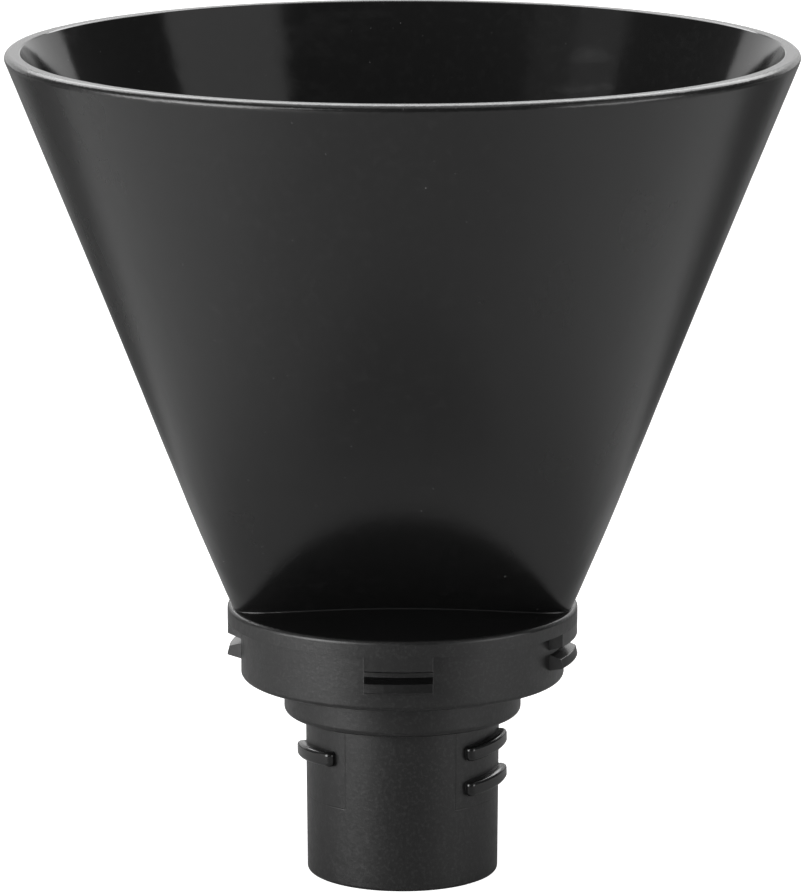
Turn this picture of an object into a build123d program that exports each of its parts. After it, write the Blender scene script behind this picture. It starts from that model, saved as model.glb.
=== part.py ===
from build123d import *
import math
import os

# Filter funnel for an insulated jug. Millimetres. Z is the funnel's axis, Z = 0 is the outlet end of the
# spout, and the wedge at the foot of the cone runs along X. Azimuths are degrees from -Y towards +X.

# Cone
TOTAL_HEIGHT = 142.85
RIM_RADIUS = 67.64  # before the rim's outer edge is rounded
CONE_SLOPE = 0.4047  # radius gained per millimetre of height
WALL = 3.1  # measured level, so about 2.9 square to the wall
RIM_OUTER_ROUND = 1.0
RIM_INNER_ROUND = 0.3

# Wedge at the foot of the cone: two soft flats that squeeze it across Y
FOOT_Z = 48.2
WEDGE_HALF_DEPTH = 13.0  # from the axis to each flat at the foot, before blending
WEDGE_SLOPE = 0.95  # depth gained per millimetre of height
WEDGE_BLEND = 8.0  # a larger length melts the flats into the round cone more gently
WEDGE_SQUARENESS = 6.0  # a higher number makes the wedge's ends fuller
SECTION_POINTS = 48
SECTION_COUNT = 10
SECTION_CROWDING = 1.6  # above 1, sections stand closer together at the foot

# Drain floor, drip holes and the plug below them
FLOOR_TOP_Z = 51.4
FLOOR_THICKNESS = 2.4
DRIP_HOLE_RADIUS = 2.0
DRIP_HOLE_SPACING = 9.0
DRIP_HOLE_COUNT = 3
PLUG_HALF_LENGTH = 15.0
PLUG_HALF_WIDTH = 6.5
PLUG_WALL = 1.8
PLUG_END_Z = 42.6

# Drain ribs that hold the paper off the wall
RIB_HEIGHT = 0.9
RIB_BURY = 0.3  # how far a rib runs into the wall
RIB_WIDTH = 1.4
RIB_TOP_Z = 106.0
RIB_SPACING = 8.0
RIBS_PER_SIDE = 6

# Collar: domed disc, flange band and skirt
FLANGE_RADIUS = 30.1
FLANGE_BOTTOM_Z = 44.4
FLANGE_ROUND = 0.8
DISC_EDGE_Z = 47.15
DISC_CROWN_Z = 49.15
SKIRT_RADIUS = 27.8
SKIRT_WALL = 2.4
SKIRT_BOTTOM_Z = 34.5
SKIRT_ROUND = 0.8

# Collar lugs, for a wide jug neck. Heights are those of a group at azimuth 0.
COLLAR_LUG_RADIUS = 29.8
COLLAR_LUG_TIP_RADIUS = 30.2  # the lower rib leans outwards to its lower edge
COLLAR_LUG_WIDTH = 11.6
COLLAR_LUG_ROOT = 27.0  # lugs start inside the skirt's wall
COLLAR_LUG_ROUND = 0.2
UPPER_RIB_INSET = 0.02  # keeps the upper rib's face just inside the flange's
UPPER_RIB_EDGE_Z = 41.95
GROOVE_TOP_Z = 41.2
GROOVE_BOTTOM_Z = 40.45
LOWER_RIB_TOP_Z = 39.7
LOWER_RIB_EDGE_Z = 38.15
LOWER_RIB_FOOT_Z = 37.7
COLLAR_THREAD_PITCH = 1.0
# (azimuth of the group's middle, azimuth that its end faces run along)
COLLAR_LUG_GROUPS = ((-1.4, -1.4), (76.0, 76.0), (178.6, 178.6), (-101.0, -118.0))

# Spout: flange inside the collar, ring shoulder and outlet tube
SPOUT_FLANGE_RADIUS = 25.3
SPOUT_FLANGE_BOTTOM_Z = 42.0
RING_RADIUS = 20.4
RING_BORE_RADIUS = 18.1
RING_BOTTOM_Z = 28.1
RING_ROUND = 1.0
BORE_STEP_TOP_Z = 30.6
BORE_STEP_BOTTOM_Z = 26.8
TUBE_TOP_RADIUS = 16.68
TUBE_END_RADIUS = 16.44
TUBE_BORE_RADIUS = 14.3
TUBE_ROUND = 0.6

# Spout lugs, an interrupted thread for a narrow jug neck
SPOUT_LUG_RADIUS = 18.2
SPOUT_LUG_ROOT = 15.3  # lugs start inside the tube's wall
SPOUT_LUG_THICKNESS = 2.6
SPOUT_LUG_SPAN = 44.6  # degrees
SPOUT_LUG_CORNER = 1.0
SPOUT_LUG_ROUND = 0.7
SPOUT_THREAD_PITCH = 6.2
# (azimuth, height of the middle)
SPOUT_LUGS = ((62.0, 17.6), (180.0, 19.7), (-65.5, 22.0), (62.0, 23.8))


def cone_radius(z):
    return RIM_RADIUS - CONE_SLOPE * (TOTAL_HEIGHT - z)


def wedge_half_depth(z):
    """From the axis to the flats: the cone's radius far above them, melting into the flats below."""
    radius = cone_radius(z)
    flat = WEDGE_HALF_DEPTH + WEDGE_SLOPE * (z - FOOT_Z)
    return radius - WEDGE_BLEND * math.log(1 + math.exp((radius - flat) / WEDGE_BLEND))


def wall_section(z, inset):
    """The funnel's outline at a height, moved in by inset: a circle above, a full oval at the foot."""
    radius = cone_radius(z) - inset
    depth = wedge_half_depth(z) - inset
    power = 2 + WEDGE_SQUARENESS * (1 - depth / radius)
    points = []
    for i in range(SECTION_POINTS):
        angle = 2 * math.pi * i / SECTION_POINTS
        squeeze = (abs(math.cos(angle)) / radius) ** power + (abs(math.sin(angle)) / depth) ** power
        reach = squeeze ** (-1 / power)
        points.append(Vector(reach * math.cos(angle), reach * math.sin(angle), z))
    return make_face(Edge.make_spline(points, periodic=True))


def funnel_solid(bottom, top, inset):
    """Everything inside the funnel's surface, moved in by inset, between two heights."""
    fractions = [(i / SECTION_COUNT) ** SECTION_CROWDING for i in range(SECTION_COUNT + 1)]
    return loft([wall_section(bottom + (top - bottom) * f, inset) for f in fractions])


def turned(outline, rounds=(), cover=None):
    """Solid turned about Z from (radius, height) points, kept inside the cover if there is one.

    Rounds pairs a point's index with the radius of the corner nearest to that point.
    """
    profile = make_face(Polyline(*outline, close=True))
    if cover:
        profile &= cover
    for index, radius in rounds:
        corner = profile.vertices().sort_by_distance(Vector(*outline[index]))[0]
        profile = fillet(corner, radius)
    return revolve(Plane.XZ * profile, Axis.Z)


def stadium(half_length, half_width, bottom, top):
    return Pos(0, 0, bottom) * extrude(SlotOverall(2 * half_length, 2 * half_width), top - bottom)


def dome_radius():
    rise = DISC_CROWN_Z - DISC_EDGE_Z
    return (FLANGE_RADIUS ** 2 + rise ** 2) / (2 * rise)


def under_disc():
    """Everything below the domed top of the collar's disc, which the cone's foot sits on."""
    return Pos(0, 0, DISC_CROWN_Z - dome_radius()) * Sphere(dome_radius())


def drain_ribs():
    """Low ribs down both sides of the inside, cut from a skin that lies on the wall."""
    skin = funnel_solid(FLOOR_TOP_Z - 1, RIB_TOP_Z, WALL - RIB_BURY)
    skin -= funnel_solid(FLOOR_TOP_Z - 2, RIB_TOP_Z + 2, WALL + RIB_HEIGHT)
    ribs = []
    for i in range(RIBS_PER_SIDE):
        x = RIB_SPACING * (i - (RIBS_PER_SIDE - 1) / 2)
        ribs.append(skin & Pos(x, 0, 0) * Box(RIB_WIDTH, 4 * RIM_RADIUS, 4 * RIM_RADIUS))
    return ribs


def rounded_rim(body):
    """Body with both edges of the rim's flat top rounded."""
    outer_edge = body.edges().group_by(Axis.Z)[-1].sort_by(SortBy.LENGTH)[-1]
    body = fillet(outer_edge, RIM_OUTER_ROUND)
    inner_edge = body.edges().group_by(Axis.Z)[-1].sort_by(SortBy.LENGTH)[0]
    return fillet(inner_edge, RIM_INNER_ROUND)


def filter_cone():
    """The cone with its drain floor, drip holes and ribs, and the plug that the collar holds."""
    body = funnel_solid(FOOT_Z - 3, TOTAL_HEIGHT, 0) - under_disc()
    body += stadium(PLUG_HALF_LENGTH, PLUG_HALF_WIDTH, PLUG_END_Z, FOOT_Z + 1)
    body -= funnel_solid(FLOOR_TOP_Z, TOTAL_HEIGHT + 2, WALL)
    bore_length = PLUG_HALF_LENGTH - PLUG_WALL
    bore_width = PLUG_HALF_WIDTH - PLUG_WALL
    body -= stadium(bore_length, bore_width, PLUG_END_Z - 1, FLOOR_TOP_Z - FLOOR_THICKNESS)
    for i in range(DRIP_HOLE_COUNT):
        x = DRIP_HOLE_SPACING * (i - (DRIP_HOLE_COUNT - 1) / 2)
        body -= Pos(x, 0, FLOOR_TOP_Z) * Cylinder(DRIP_HOLE_RADIUS, 4 * FLOOR_THICKNESS)
    return rounded_rim(body) + drain_ribs()


def collar_lugs(azimuth, pull_azimuth):
    """One lug group: a rib that hangs from the flange, a groove for the jug's thread, and a lower rib."""
    rib_radius = FLANGE_RADIUS - UPPER_RIB_INSET
    upper_rib = [(COLLAR_LUG_ROOT, FLANGE_BOTTOM_Z + 0.5), (rib_radius, FLANGE_BOTTOM_Z + 0.5),
                 (rib_radius, UPPER_RIB_EDGE_Z), (SKIRT_RADIUS, GROOVE_TOP_Z),
                 (COLLAR_LUG_ROOT, GROOVE_TOP_Z)]
    lower_rib = [(COLLAR_LUG_ROOT, GROOVE_BOTTOM_Z), (SKIRT_RADIUS, GROOVE_BOTTOM_Z),
                 (COLLAR_LUG_RADIUS, LOWER_RIB_TOP_Z), (COLLAR_LUG_TIP_RADIUS, LOWER_RIB_EDGE_Z),
                 (SKIRT_RADIUS, LOWER_RIB_FOOT_Z), (COLLAR_LUG_ROOT, LOWER_RIB_FOOT_Z)]
    lead = COLLAR_THREAD_PITCH * azimuth / 360
    upper_rib = upper_rib[:2] + [(r, z + lead) for r, z in upper_rib[2:]]
    lower_rib = [(r, z + lead) for r, z in lower_rib]
    swing = math.radians(azimuth - pull_azimuth)
    middle = COLLAR_LUG_RADIUS * math.sin(swing)
    width = COLLAR_LUG_WIDTH * math.cos(swing)
    slab = Pos(middle, -FLANGE_RADIUS, FLANGE_BOTTOM_Z) * Box(width, 2 * FLANGE_RADIUS, FLANGE_RADIUS)
    slab = Rot(0, 0, pull_azimuth) * slab
    rounds = [(2, COLLAR_LUG_ROUND), (3, COLLAR_LUG_ROUND)]
    return turned(upper_rib) & slab, turned(lower_rib, rounds) & slab


def jug_collar():
    """Domed disc with a slot for the plug, flange band, and open skirt with its lug groups."""
    skirt_bore = SKIRT_RADIUS - SKIRT_WALL
    outline = [(0, FLANGE_BOTTOM_Z), (skirt_bore, FLANGE_BOTTOM_Z), (skirt_bore, SKIRT_BOTTOM_Z),
               (SKIRT_RADIUS, SKIRT_BOTTOM_Z), (SKIRT_RADIUS, FLANGE_BOTTOM_Z),
               (FLANGE_RADIUS, FLANGE_BOTTOM_Z), (FLANGE_RADIUS, DISC_CROWN_Z), (0, DISC_CROWN_Z)]
    dome = Pos(0, DISC_CROWN_Z - dome_radius()) * Circle(dome_radius())
    body = turned(outline, [(2, SKIRT_ROUND / 2), (3, SKIRT_ROUND), (6, FLANGE_ROUND)], dome)
    body -= stadium(PLUG_HALF_LENGTH, PLUG_HALF_WIDTH, SKIRT_BOTTOM_Z, TOTAL_HEIGHT)
    for azimuth, pull_azimuth in COLLAR_LUG_GROUPS:
        for rib in collar_lugs(azimuth, pull_azimuth):
            body += rib
    return body


def spout_lug(azimuth, height):
    """One piece of the interrupted thread, tilted to the thread's helix."""
    half_width = 2 * SPOUT_LUG_RADIUS * math.tan(math.radians(SPOUT_LUG_SPAN / 2))
    plan = Circle(SPOUT_LUG_RADIUS) - Circle(SPOUT_LUG_ROOT)
    plan &= make_face(Polyline((0, 0), (-half_width, -2 * SPOUT_LUG_RADIUS),
                               (half_width, -2 * SPOUT_LUG_RADIUS), close=True))
    tips = plan.vertices().group_by(SortBy.DISTANCE)[-1]
    lug = extrude(fillet(tips, SPOUT_LUG_CORNER), SPOUT_LUG_THICKNESS / 2, both=True)
    outside = [e for e in lug.edges().filter_by(Plane.XY) if e.center().length > TUBE_TOP_RADIUS]
    lug = fillet(outside, SPOUT_LUG_ROUND)
    tilt = math.degrees(math.atan(SPOUT_THREAD_PITCH / (2 * math.pi * SPOUT_LUG_RADIUS)))
    return Pos(0, 0, height) * Rot(0, 0, azimuth) * Rot(0, -tilt, 0) * lug


def stepped_spout():
    """Flange that seats inside the skirt, ring shoulder, and outlet tube with its thread lugs."""
    outline = [(TUBE_BORE_RADIUS, 0), (TUBE_END_RADIUS, 0), (TUBE_TOP_RADIUS, RING_BOTTOM_Z),
               (RING_RADIUS, RING_BOTTOM_Z), (RING_RADIUS, SPOUT_FLANGE_BOTTOM_Z),
               (SPOUT_FLANGE_RADIUS, SPOUT_FLANGE_BOTTOM_Z), (SPOUT_FLANGE_RADIUS, FLANGE_BOTTOM_Z),
               (RING_BORE_RADIUS, FLANGE_BOTTOM_Z), (RING_BORE_RADIUS, BORE_STEP_TOP_Z),
               (TUBE_BORE_RADIUS, BORE_STEP_BOTTOM_Z)]
    body = turned(outline, [(0, TUBE_ROUND / 2), (1, TUBE_ROUND), (3, RING_ROUND)])
    for azimuth, height in SPOUT_LUGS:
        body += spout_lug(azimuth, height)
    return body


os.makedirs("parts", exist_ok=True)
export_step(filter_cone(), "parts/filter_cone.step")
export_step(jug_collar(), "parts/jug_collar.step")
export_step(stepped_spout(), "parts/stepped_spout.step")
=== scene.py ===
import math

import bpy
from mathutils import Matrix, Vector


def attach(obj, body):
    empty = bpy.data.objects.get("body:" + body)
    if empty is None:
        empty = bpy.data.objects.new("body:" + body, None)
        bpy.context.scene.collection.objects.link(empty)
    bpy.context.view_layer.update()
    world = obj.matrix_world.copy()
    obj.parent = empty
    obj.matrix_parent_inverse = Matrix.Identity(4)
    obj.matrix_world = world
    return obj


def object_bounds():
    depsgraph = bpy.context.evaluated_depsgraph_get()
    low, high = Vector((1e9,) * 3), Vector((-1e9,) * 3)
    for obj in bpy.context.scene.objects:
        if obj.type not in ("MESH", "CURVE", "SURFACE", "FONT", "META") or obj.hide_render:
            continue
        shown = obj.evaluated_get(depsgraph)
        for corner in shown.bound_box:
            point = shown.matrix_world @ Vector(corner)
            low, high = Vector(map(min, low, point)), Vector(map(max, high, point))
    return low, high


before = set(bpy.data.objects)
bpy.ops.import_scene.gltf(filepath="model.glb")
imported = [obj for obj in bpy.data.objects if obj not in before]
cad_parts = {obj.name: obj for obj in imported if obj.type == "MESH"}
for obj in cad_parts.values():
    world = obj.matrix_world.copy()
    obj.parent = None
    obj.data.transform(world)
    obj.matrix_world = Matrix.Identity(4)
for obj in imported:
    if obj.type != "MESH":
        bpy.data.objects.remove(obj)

MM = 0.001

cad_low, cad_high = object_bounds()

# Camera, from the pinhole fit: in front on -Y, a little above the rim, tilted down by the pitch in degrees
CAMERA_DISTANCE = 1.00535
CAMERA_HEIGHT = 0.27893
CAMERA_PITCH = 11.501
LENS, SENSOR_WIDTH = 241.8, 36.0  # mm, as Blender's camera takes them
CLIP_START, CLIP_END = 0.05, 20.0

# The welded seam: the cone's foot, a circle of FOOT_RADIUS squeezed to a wedge, standing on the dome
CONE_SLOPE = 0.4047
FOOT_RADIUS = 29.335 * MM
FOOT_Z = 48.2 * MM
WEDGE_HALF_DEPTH = 13.0 * MM
WEDGE_SLOPE = 0.95
WEDGE_BLEND = 8.0 * MM
WEDGE_SQUARENESS = 6.0
FLANGE_RADIUS = 30.1 * MM
DOME_EDGE_Z = 47.15 * MM
DOME_CROWN_Z = 49.15 * MM
BEAD_RADIUS = 0.2 * MM
BEAD_POINTS = 120
BEAD_PASSES = 6  # rounds of finding the foot's reach at the dome's height

# Mould marks. Azimuths run from the front towards +X, in degrees.
LINE_WIDTH = 0.14 * MM
INSERT_FOOT_Z = 13.8 * MM  # the spout's inserts, which form its lugs, end here
INSERT_LEFT, INSERT_RIGHT = -36.0, 33.0
TUBE_RADIUS = 16.7 * MM
TUBE_TOP_Z = 28.0 * MM  # just under the ring
LUG_GROUPS = ((-1.4, -1.4), (76.0, 76.0), (178.6, 178.6), (-101.0, -118.0))  # middle, pull direction
LUG_RADIUS, LUG_WIDTH = 29.8 * MM, 11.6 * MM
SKIRT_RADIUS = 27.8 * MM
LUG_FOOT_Z, FLANGE_FOOT_Z = 37.2 * MM, 44.4 * MM

# Soft lights: azimuth from the camera's side towards +X, elevation, distance, width, height, radiance.
# Cards are seen in reflections only, and pools light the floor without being reflected.
SOFTBOXES = (
    ("back_low", 180.0, 9.0, 1.4, 2.8, 0.5, 1.0),
    ("back_mid", 180.0, 30.0, 1.3, 2.6, 0.5, 0.5),
    ("top", 0.0, 85.0, 1.0, 0.8, 0.8, 1.3),
    ("right_box", 65.7, 26.0, 1.1, 0.706, 0.8, 0.68),
    ("right_low", 62.0, 6.0, 1.0, 0.6, 0.3, 3.8),
    ("left_front", -54.0, 8.0, 1.0, 0.50, 0.42, 9.5),
    ("left_box", -78.0, 6.0, 1.0, 0.26, 0.35, 6.5),
    ("left_side", -95.0, 8.0, 1.0, 0.4, 0.35, 0.6),
    ("left_upper", -47.0, 25.0, 1.0, 0.75, 0.16, 6.0),
)
CARDS = (
    ("card_back", 180.0, 48.0, 1.2, 2.2, 0.9, 4.5),
    ("card_left", -66.0, 36.0, 1.0, 0.54, 0.2, 0.12),
    ("card_left_edge", -73.0, 36.0, 1.0, 0.26, 0.2, 0.12),
    ("card_wedge", -72.5, 24.0, 1.0, 0.22, 0.19, 2.2),
)
POOLS = (
    ("pool_right", 97.0, 20.0, 0.35, 0.2, 0.2, 1.2),
    ("pool_left", -100.0, 20.0, 0.35, 0.2, 0.2, 0.5),
)
SKY = 0.105  # the even light from all round; the camera sees white there instead

# The floor: half its side, and its diffuse tones: a painted shadow at the back corners, a painted shadow
# in front, plain elsewhere, and painted light at the sides
FLOOR_HALF = 4.0
PAINTED_SHADOW_CORNERS, PAINTED_SHADOW_FRONT, TONE_PLAIN, PAINTED_LIGHT_SIDES = 0.17, 0.44, 0.68, 0.95

PLASTIC_IOR = 1.5


# ---------------------------------------------------------------- node graphs
class Graph:
    """Builds the node tree of one material or world, a call per node."""

    def __init__(self, owner):
        owner.use_nodes = True
        self.tree = owner.node_tree
        self.tree.nodes.clear()

    def put(self, socket, value):
        if isinstance(value, bpy.types.NodeSocket):
            self.tree.links.new(value, socket)
        else:
            socket.default_value = value

    def node(self, kind, settings=None, **inputs):
        """Adds a node. Inputs go by name with _ for a space, or by number as i0, i1 and so on."""
        made = self.tree.nodes.new("ShaderNode" + kind)
        for name, value in (settings or {}).items():
            setattr(made, name, value)
        for name, value in inputs.items():
            key = int(name[1:]) if name[1:].isdigit() else name.replace("_", " ")
            self.put(made.inputs[key], value)
        return made

    def math(self, operation, first, second=0.0):
        return self.node("Math", {"operation": operation}, i0=first, i1=second).outputs[0]

    def step(self, value, low, high):
        """0 below low, 1 above high, smooth between; low above high turns it round."""
        made = self.node("MapRange", {"interpolation_type": "SMOOTHSTEP"}, Value=value)
        flip = low > high
        made.inputs["From Min"].default_value = min(low, high)
        made.inputs["From Max"].default_value = max(low, high)
        made.inputs["To Min"].default_value = 1.0 if flip else 0.0
        made.inputs["To Max"].default_value = 0.0 if flip else 1.0
        return made.outputs["Result"]

    def span(self, value, low, high):
        """Rescales a noise's 0 to 1 to low to high."""
        made = self.node("MapRange", None, Value=value)
        made.inputs["To Min"].default_value = low
        made.inputs["To Max"].default_value = high
        return made.outputs["Result"]

    def blend(self, amount, first, second):
        """Mixes two numbers: first at 0, second at 1."""
        return self.node("Mix", {"data_type": "FLOAT"}, i0=amount, i2=first, i3=second).outputs[0]

    def colours(self, amount, first, second):
        """Mixes two colours: first at 0, second at 1."""
        return self.node("Mix", {"data_type": "RGBA"}, i0=amount, i6=first, i7=second).outputs[2]

    def noise(self, place, scale, detail=2.0, rough=0.5):
        made = self.node("TexNoise", None, Vector=place, Scale=scale, Detail=detail, Roughness=rough)
        return made.outputs[0]

    def stretch(self, place, factors):
        return self.node("VectorMath", {"operation": "MULTIPLY"}, i0=place, i1=factors).outputs[0]


def grey(level):
    return (level, level, level, 1.0)


class Place:
    """Where a shading point is on the object, for masks that follow its shape.

    radius is its distance from the axis, up is its normal's upward part, and outward is the normal's part
    away from the axis times radius, which is negative on inner walls.
    """

    def __init__(self, graph):
        self.point = graph.node("TexCoord").outputs["Object"]
        self.z = graph.node("SeparateXYZ", None, Vector=self.point).outputs["Z"]
        flat = graph.stretch(self.point, (1.0, 1.0, 0.0))
        self.radius = graph.node("VectorMath", {"operation": "LENGTH"}, i0=flat).outputs["Value"]
        normal = graph.node("NewGeometry").outputs["Normal"]
        self.up = graph.node("SeparateXYZ", None, Vector=normal).outputs["Z"]
        away = graph.node("VectorMath", {"operation": "DOT_PRODUCT"}, i0=normal, i1=flat)
        self.outward = away.outputs["Value"]


def plastic(name, node):
    """Puts a new material on every slot of a CAD node, and returns its graph."""
    made = bpy.data.materials.new(name)
    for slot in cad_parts[node].material_slots:
        slot.material = made
    return Graph(made)


def close(graph, colour, roughness, normal):
    """Ends a plastic's graph in its shader and output."""
    shader = graph.node("BsdfPrincipled", None, Base_Color=colour, Roughness=roughness, Normal=normal)
    shader.inputs["IOR"].default_value = PLASTIC_IOR
    graph.node("OutputMaterial", None, Surface=shader.outputs[0])


def bump(graph, height, distance, strength=1.0, under=None):
    """The normal bumped by a height of 0 to 1 times a distance, on top of another bump if there is one."""
    made = graph.node("Bump", None, Height=height, Distance=distance, Strength=strength)
    if under is not None:
        graph.put(made.inputs["Normal"], under)
    return made.outputs[0]


# ------------------------------------------------------------------ materials
def cone_finish():
    """Satin outside, polished inside with faint flow marks, and upward faces such as the rim's top made
    rougher and painted lighter as painted top light.
    """
    graph = plastic("black_plastic_satin", "filter_cone")
    at = Place(graph)
    inside = graph.step(at.outward, 0.002, -0.002)
    # upward faces such as the rim's top: a rougher finish, and a lighter colour that is painted top light
    rim = graph.step(at.up, 0.80, 0.97)
    cloud = graph.noise(at.point, 28.0, 3.0)
    grain = graph.noise(at.point, 2600.0, 2.0, 0.6)
    peel = graph.noise(at.point, 750.0, 2.0, 0.5)
    haze = graph.noise(graph.stretch(at.point, (1.0, 1.0, 0.35)), 90.0, 4.0, 0.6)
    swirl = graph.noise(graph.stretch(at.point, (1.0, 1.0, 2.6)), 34.0, 6.0, 0.66)
    flow = graph.math("MULTIPLY", graph.step(swirl, 0.56, 0.70), inside)
    dust = graph.math("MULTIPLY", graph.step(graph.noise(at.point, 1500.0, 1.0), 0.80, 0.84), 0.6)
    tone = graph.colours(cloud, grey(0.0055), grey(0.0075))
    tone = graph.colours(graph.step(peel, 0.50, 0.70), tone, grey(0.0095))
    tone = graph.colours(flow, tone, grey(0.0125))
    # painted top light: upward faces such as the rim's top painted lighter
    tone = graph.colours(rim, tone, grey(0.03))
    tone = graph.colours(dust, tone, grey(0.16))
    satin = graph.math("ADD", graph.span(cloud, 0.24, 0.29), graph.span(haze, -0.02, 0.02))
    polish = graph.math("ADD", graph.span(cloud, 0.09, 0.13), graph.span(haze, -0.02, 0.03))
    polish = graph.math("ADD", polish, graph.math("MULTIPLY", flow, 0.06))
    roughness = graph.blend(inside, satin, polish)
    roughness = graph.blend(rim, roughness, 0.25)
    waves = bump(graph, peel, 0.012 * MM, graph.blend(inside, 1.0, 0.15))
    fine = bump(graph, grain, 0.004 * MM, graph.blend(inside, 1.0, 0.15), waves)
    close(graph, tone, roughness, fine)


def sparked(graph, at, smooth, marks):
    """Spark-eroded mould texture with a slightly dry sheen, smooth patches and fine mould lines."""
    pits = graph.noise(at.point, 1700.0, 3.0, 0.7)
    mottle = graph.noise(at.point, 620.0, 4.0, 0.7)
    cloud = graph.noise(at.point, 70.0, 3.0)
    tone = graph.colours(cloud, grey(0.0050), grey(0.0075))
    dry = graph.math("MULTIPLY", graph.step(pits, 0.48, 0.66), graph.blend(smooth, 1.0, 0.1))
    tone = graph.colours(dry, tone, grey(0.017))
    tone = graph.colours(graph.math("MULTIPLY", marks, 0.5), tone, grey(0.002))
    rough = graph.math("ADD", graph.span(cloud, 0.36, 0.42), graph.span(mottle, -0.14, 0.14))
    roughness = graph.blend(smooth, rough, graph.span(cloud, 0.18, 0.24))
    coarse = bump(graph, mottle, 0.030 * MM, graph.blend(smooth, 1.0, 0.1))
    fine = bump(graph, pits, 0.020 * MM, graph.blend(smooth, 1.0, 0.15), coarse)
    lined = bump(graph, marks, -0.03 * MM, 1.0, fine)
    return tone, roughness, lined


def across(graph, at, azimuth):
    """Distance sideways from the upright plane through the axis at an azimuth."""
    turn = math.radians(azimuth)
    side = graph.node("VectorMath", {"operation": "DOT_PRODUCT"}, i0=at.point)
    side.inputs[1].default_value = (math.cos(turn), math.sin(turn), 0.0)
    return side.outputs["Value"]


def facing(graph, at, azimuth):
    """1 on the half of the object that faces an azimuth."""
    return graph.step(across(graph, at, azimuth - 90.0), 0.0, 0.001 * MM)


def line_at(graph, value, place):
    """1 on a fine line where a value passes through a place."""
    off = graph.math("ABSOLUTE", graph.math("SUBTRACT", value, place))
    return graph.step(off, LINE_WIDTH, 0.3 * LINE_WIDTH)


def product(graph, first, *others):
    """Where every mask is 1."""
    for other in others:
        first = graph.math("MULTIPLY", first, other)
    return first


def collar_finish():
    """Sparked, with a smoother dome and the witness lines of the slides that form the lug groups, raised a
    little and painted lighter as a painted highlight.
    """
    graph = plastic("black_plastic_sparked", "jug_collar")
    at = Place(graph)
    dome = graph.step(at.up, 0.7, 0.95)
    # the skirt's outside between the lugs' feet and the flange
    band = product(
        graph,
        graph.step(at.z, LUG_FOOT_Z, LUG_FOOT_Z + LINE_WIDTH),
        graph.step(at.z, FLANGE_FOOT_Z, FLANGE_FOOT_Z - LINE_WIDTH),
        graph.step(at.radius, SKIRT_RADIUS - MM, SKIRT_RADIUS),
    )
    marks = 0.0
    for middle, pull in LUG_GROUPS:
        swing = math.radians(middle - pull)
        side = across(graph, at, pull)
        near = product(graph, facing(graph, at, middle), band)
        for end in (-0.5, 0.5):
            place = LUG_RADIUS * math.sin(swing) + end * LUG_WIDTH * math.cos(swing)
            marks = graph.math("MAXIMUM", marks, product(graph, line_at(graph, side, place), near))
    lugs = product(graph, graph.step(at.radius, SKIRT_RADIUS + 0.3 * MM, SKIRT_RADIUS + 0.6 * MM), band)
    smooth = graph.math("MAXIMUM", graph.math("MULTIPLY", dome, 0.9), graph.math("MULTIPLY", lugs, 0.4))
    tone, roughness, fine = sparked(graph, at, smooth, graph.math("MULTIPLY", marks, -0.5))
    # painted highlight: the witness lines painted lighter, standing in for light caught on their ridge
    tone = graph.colours(graph.math("MULTIPLY", marks, 0.6), tone, grey(0.03))
    close(graph, tone, roughness, fine)


def spout_finish():
    """Sparked, with polished lugs and the outlines of the mould inserts that form them."""
    graph = plastic("black_plastic_sparked_spout", "stepped_spout")
    at = Place(graph)
    tube = graph.step(at.z, TUBE_TOP_Z, TUBE_TOP_Z - LINE_WIDTH)
    above = product(graph, graph.step(at.z, INSERT_FOOT_Z - LINE_WIDTH, INSERT_FOOT_Z), tube)
    left = across(graph, at, INSERT_LEFT)
    right = across(graph, at, INSERT_RIGHT)
    left_edge = product(graph, line_at(graph, left, 0.0), facing(graph, at, INSERT_LEFT), above)
    right_edge = product(graph, line_at(graph, right, 0.0), facing(graph, at, INSERT_RIGHT), above)
    outside = graph.math("MAXIMUM", graph.step(left, LINE_WIDTH, 0.0), graph.step(right, -LINE_WIDTH, 0.0))
    foot_edge = product(graph, line_at(graph, at.z, INSERT_FOOT_Z), outside)
    marks = graph.math("MAXIMUM", graph.math("MAXIMUM", left_edge, right_edge), foot_edge)
    lugs = product(graph, graph.step(at.radius, TUBE_RADIUS + 0.15 * MM, TUBE_RADIUS + 0.45 * MM), tube)
    tone, roughness, fine = sparked(graph, at, lugs, marks)
    close(graph, tone, roughness, fine)


# ---------------------------------------------------------------------- bead
def foot_reach(z, angle):
    """From the axis to the outside of the cone near its foot, at a height and an angle from +X."""
    radius = FOOT_RADIUS + CONE_SLOPE * (z - FOOT_Z)
    flat = WEDGE_HALF_DEPTH + WEDGE_SLOPE * (z - FOOT_Z)
    depth = radius - WEDGE_BLEND * math.log(1 + math.exp((radius - flat) / WEDGE_BLEND))
    power = 2 + WEDGE_SQUARENESS * (1 - depth / radius)
    squeeze = (abs(math.cos(angle)) / radius) ** power + (abs(math.sin(angle)) / depth) ** power
    return squeeze ** (-1 / power)


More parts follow.
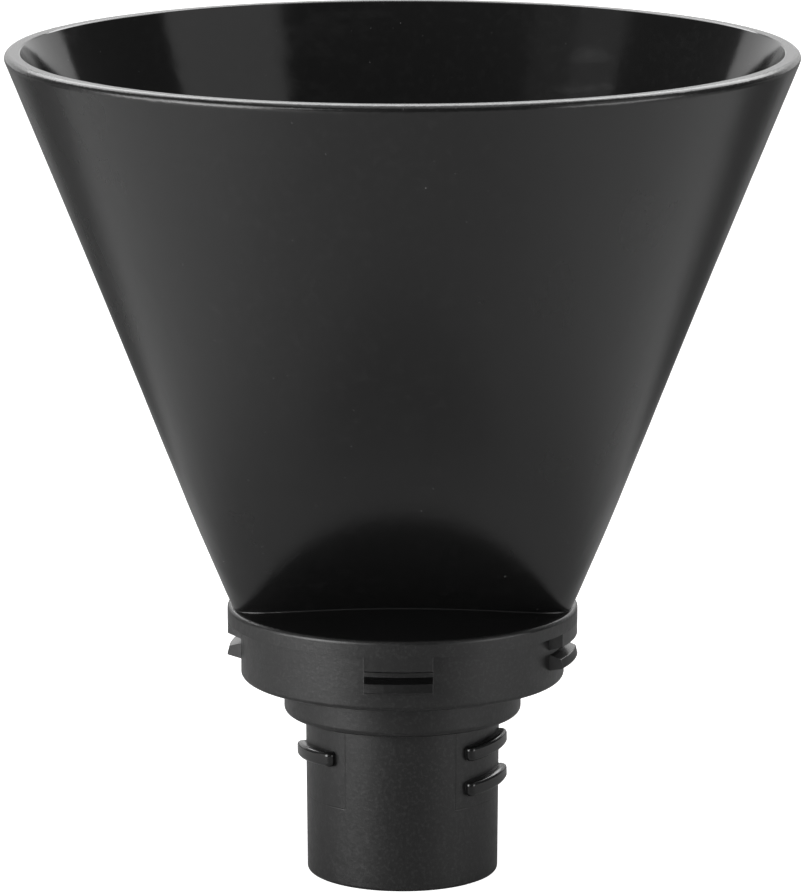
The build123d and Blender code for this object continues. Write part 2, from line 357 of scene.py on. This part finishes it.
def weld_bead():
    """The fine bead of plastic squeezed out where the cone's foot is welded to the collar's dome."""
    rise = DOME_CROWN_Z - DOME_EDGE_Z
    ball = (FLANGE_RADIUS**2 + rise**2) / (2 * rise)
    line = []
    for i in range(BEAD_POINTS):
        angle = 2 * math.pi * i / BEAD_POINTS
        place = Vector((0.0, 0.0, DOME_CROWN_Z))
        for _ in range(BEAD_PASSES):
            reach = foot_reach(place.z, angle)
            place = Vector((reach * math.cos(angle), reach * math.sin(angle), 0.0))
            place.z = DOME_CROWN_Z - ball + math.sqrt(ball**2 - reach**2)
        line.append(place)
    data = bpy.data.curves.new("weld_bead", "CURVE")
    data.dimensions = "3D"
    data.bevel_depth = BEAD_RADIUS
    data.bevel_resolution = 3
    spline = data.splines.new("NURBS")
    spline.points.add(len(line) - 1)
    for point, place in zip(spline.points, line):
        point.co = (*place, 1.0)
    spline.use_cyclic_u = True
    spline.order_u = 4
    made = bpy.data.objects.new("weld_bead", data)
    bpy.context.collection.objects.link(made)
    material = bpy.data.materials.new("black_plastic_weld")
    graph = Graph(material)
    at = Place(graph)
    lumps = graph.noise(at.point, 420.0, 3.0, 0.6)
    tone = graph.colours(lumps, grey(0.008), grey(0.012))
    ridges = bump(graph, lumps, 0.06 * MM)
    close(graph, tone, graph.span(lumps, 0.16, 0.30), ridges)
    data.materials.append(material)
    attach(made, "funnel")


# --------------------------------------------------------------------- studio
def aim(obj, target):
    obj.rotation_euler = (target - obj.location).to_track_quat("-Z", "Y").to_euler()


def softbox(name, azimuth, elevation, distance, width, height, radiance):
    """A soft light that faces the middle of the object and can't be seen by the camera."""
    data = bpy.data.lights.new(name, "AREA")
    data.shape = "RECTANGLE"
    data.size = width
    data.size_y = height
    data.energy = radiance * math.pi * width * height
    lamp = bpy.data.objects.new(name, data)
    bpy.context.collection.objects.link(lamp)
    turn, rise = math.radians(azimuth), math.radians(elevation)
    middle = (cad_low + cad_high) / 2
    lamp.location = middle + distance * Vector(
        (math.sin(turn) * math.cos(rise), -math.cos(turn) * math.cos(rise), math.sin(rise))
    )
    aim(lamp, middle)
    lamp.visible_camera = False
    return lamp


def studio():
    """The world and every light."""
    world = bpy.data.worlds.new("studio")
    bpy.context.scene.world = world
    graph = Graph(world)
    seen = graph.node("LightPath").outputs["Is Camera Ray"]
    tone = graph.colours(seen, grey(SKY), grey(1.0))
    sky = graph.node("Background", None, Color=tone, Strength=1.0)
    graph.node("OutputWorld", None, Surface=sky.outputs[0])

    for box in SOFTBOXES:
        softbox(*box)
    for card in CARDS:
        softbox(*card).visible_diffuse = False
    for pool in POOLS:
        softbox(*pool).visible_glossy = False


def floor_painted_light_and_shade(graph):
    """The floor's diffuse tone, which the cone's wall reflects: painted light at the sides, painted shadow
    in front and at the back corners.
    """
    point = graph.node("TexCoord").outputs["Object"]
    split = graph.node("SeparateXYZ", None, Vector=point)
    aside, back = graph.math("ABSOLUTE", split.outputs["X"]), split.outputs["Y"]
    # painted light: the floor lighter at the sides
    sides = product(graph, graph.step(aside, 0.05, 0.17), graph.step(back, 0.16, 0.10))
    # painted shadow: the floor darker towards the back corners
    corners = product(
        graph,
        graph.step(aside, 0.09, 0.15),
        graph.step(back, 0.11, 0.19),
        graph.step(back, 0.44, 0.32),
    )
    # painted shadow: the floor darker just in front of the foot, the funnel's own shadow
    away = graph.node("VectorMath", {"operation": "DISTANCE"}, i0=point, i1=(0.0, -0.085, 0.0))
    front = graph.step(away.outputs["Value"], 0.06, 0.02)
    tone = graph.blend(sides, TONE_PLAIN, PAINTED_LIGHT_SIDES)
    tone = graph.blend(corners, tone, PAINTED_SHADOW_CORNERS)
    return graph.blend(front, tone, PAINTED_SHADOW_FRONT)


def floor():
    """A wide paper floor that looks white to the camera."""
    square = [(x * FLOOR_HALF, y * FLOOR_HALF, 0) for x, y in ((-1, -1), (1, -1), (1, 1), (-1, 1))]
    mesh = bpy.data.meshes.new("floor")
    mesh.from_pydata(square, [], [(0, 1, 2, 3)])
    made = bpy.data.objects.new("floor", mesh)
    bpy.context.collection.objects.link(made)
    material = bpy.data.materials.new("floor_paper")
    graph = Graph(material)
    paper = graph.node("BsdfDiffuse", None, Color=floor_painted_light_and_shade(graph))
    seen = graph.node("LightPath").outputs["Is Camera Ray"]
    lift = graph.node("Emission", None, Color=grey(1.0), Strength=seen)
    both = graph.node("AddShader", None, i0=paper.outputs[0], i1=lift.outputs[0])
    graph.node("OutputMaterial", None, Surface=both.outputs[0])
    mesh.materials.append(material)


def camera():
    """The photo's own view."""
    data = bpy.data.cameras.new("camera")
    data.lens = LENS
    data.sensor_width = SENSOR_WIDTH
    data.clip_start, data.clip_end = CLIP_START, CLIP_END
    made = bpy.data.objects.new("camera", data)
    bpy.context.collection.objects.link(made)
    made.location = (0.0, -CAMERA_DISTANCE, CAMERA_HEIGHT)
    made.rotation_euler = (math.radians(90.0 - CAMERA_PITCH), 0.0, 0.0)
    bpy.context.scene.camera = made


cone_finish()
collar_finish()
spout_finish()
weld_bead()
floor()
studio()
camera()

bpy.context.scene.view_settings.view_transform = "Standard"
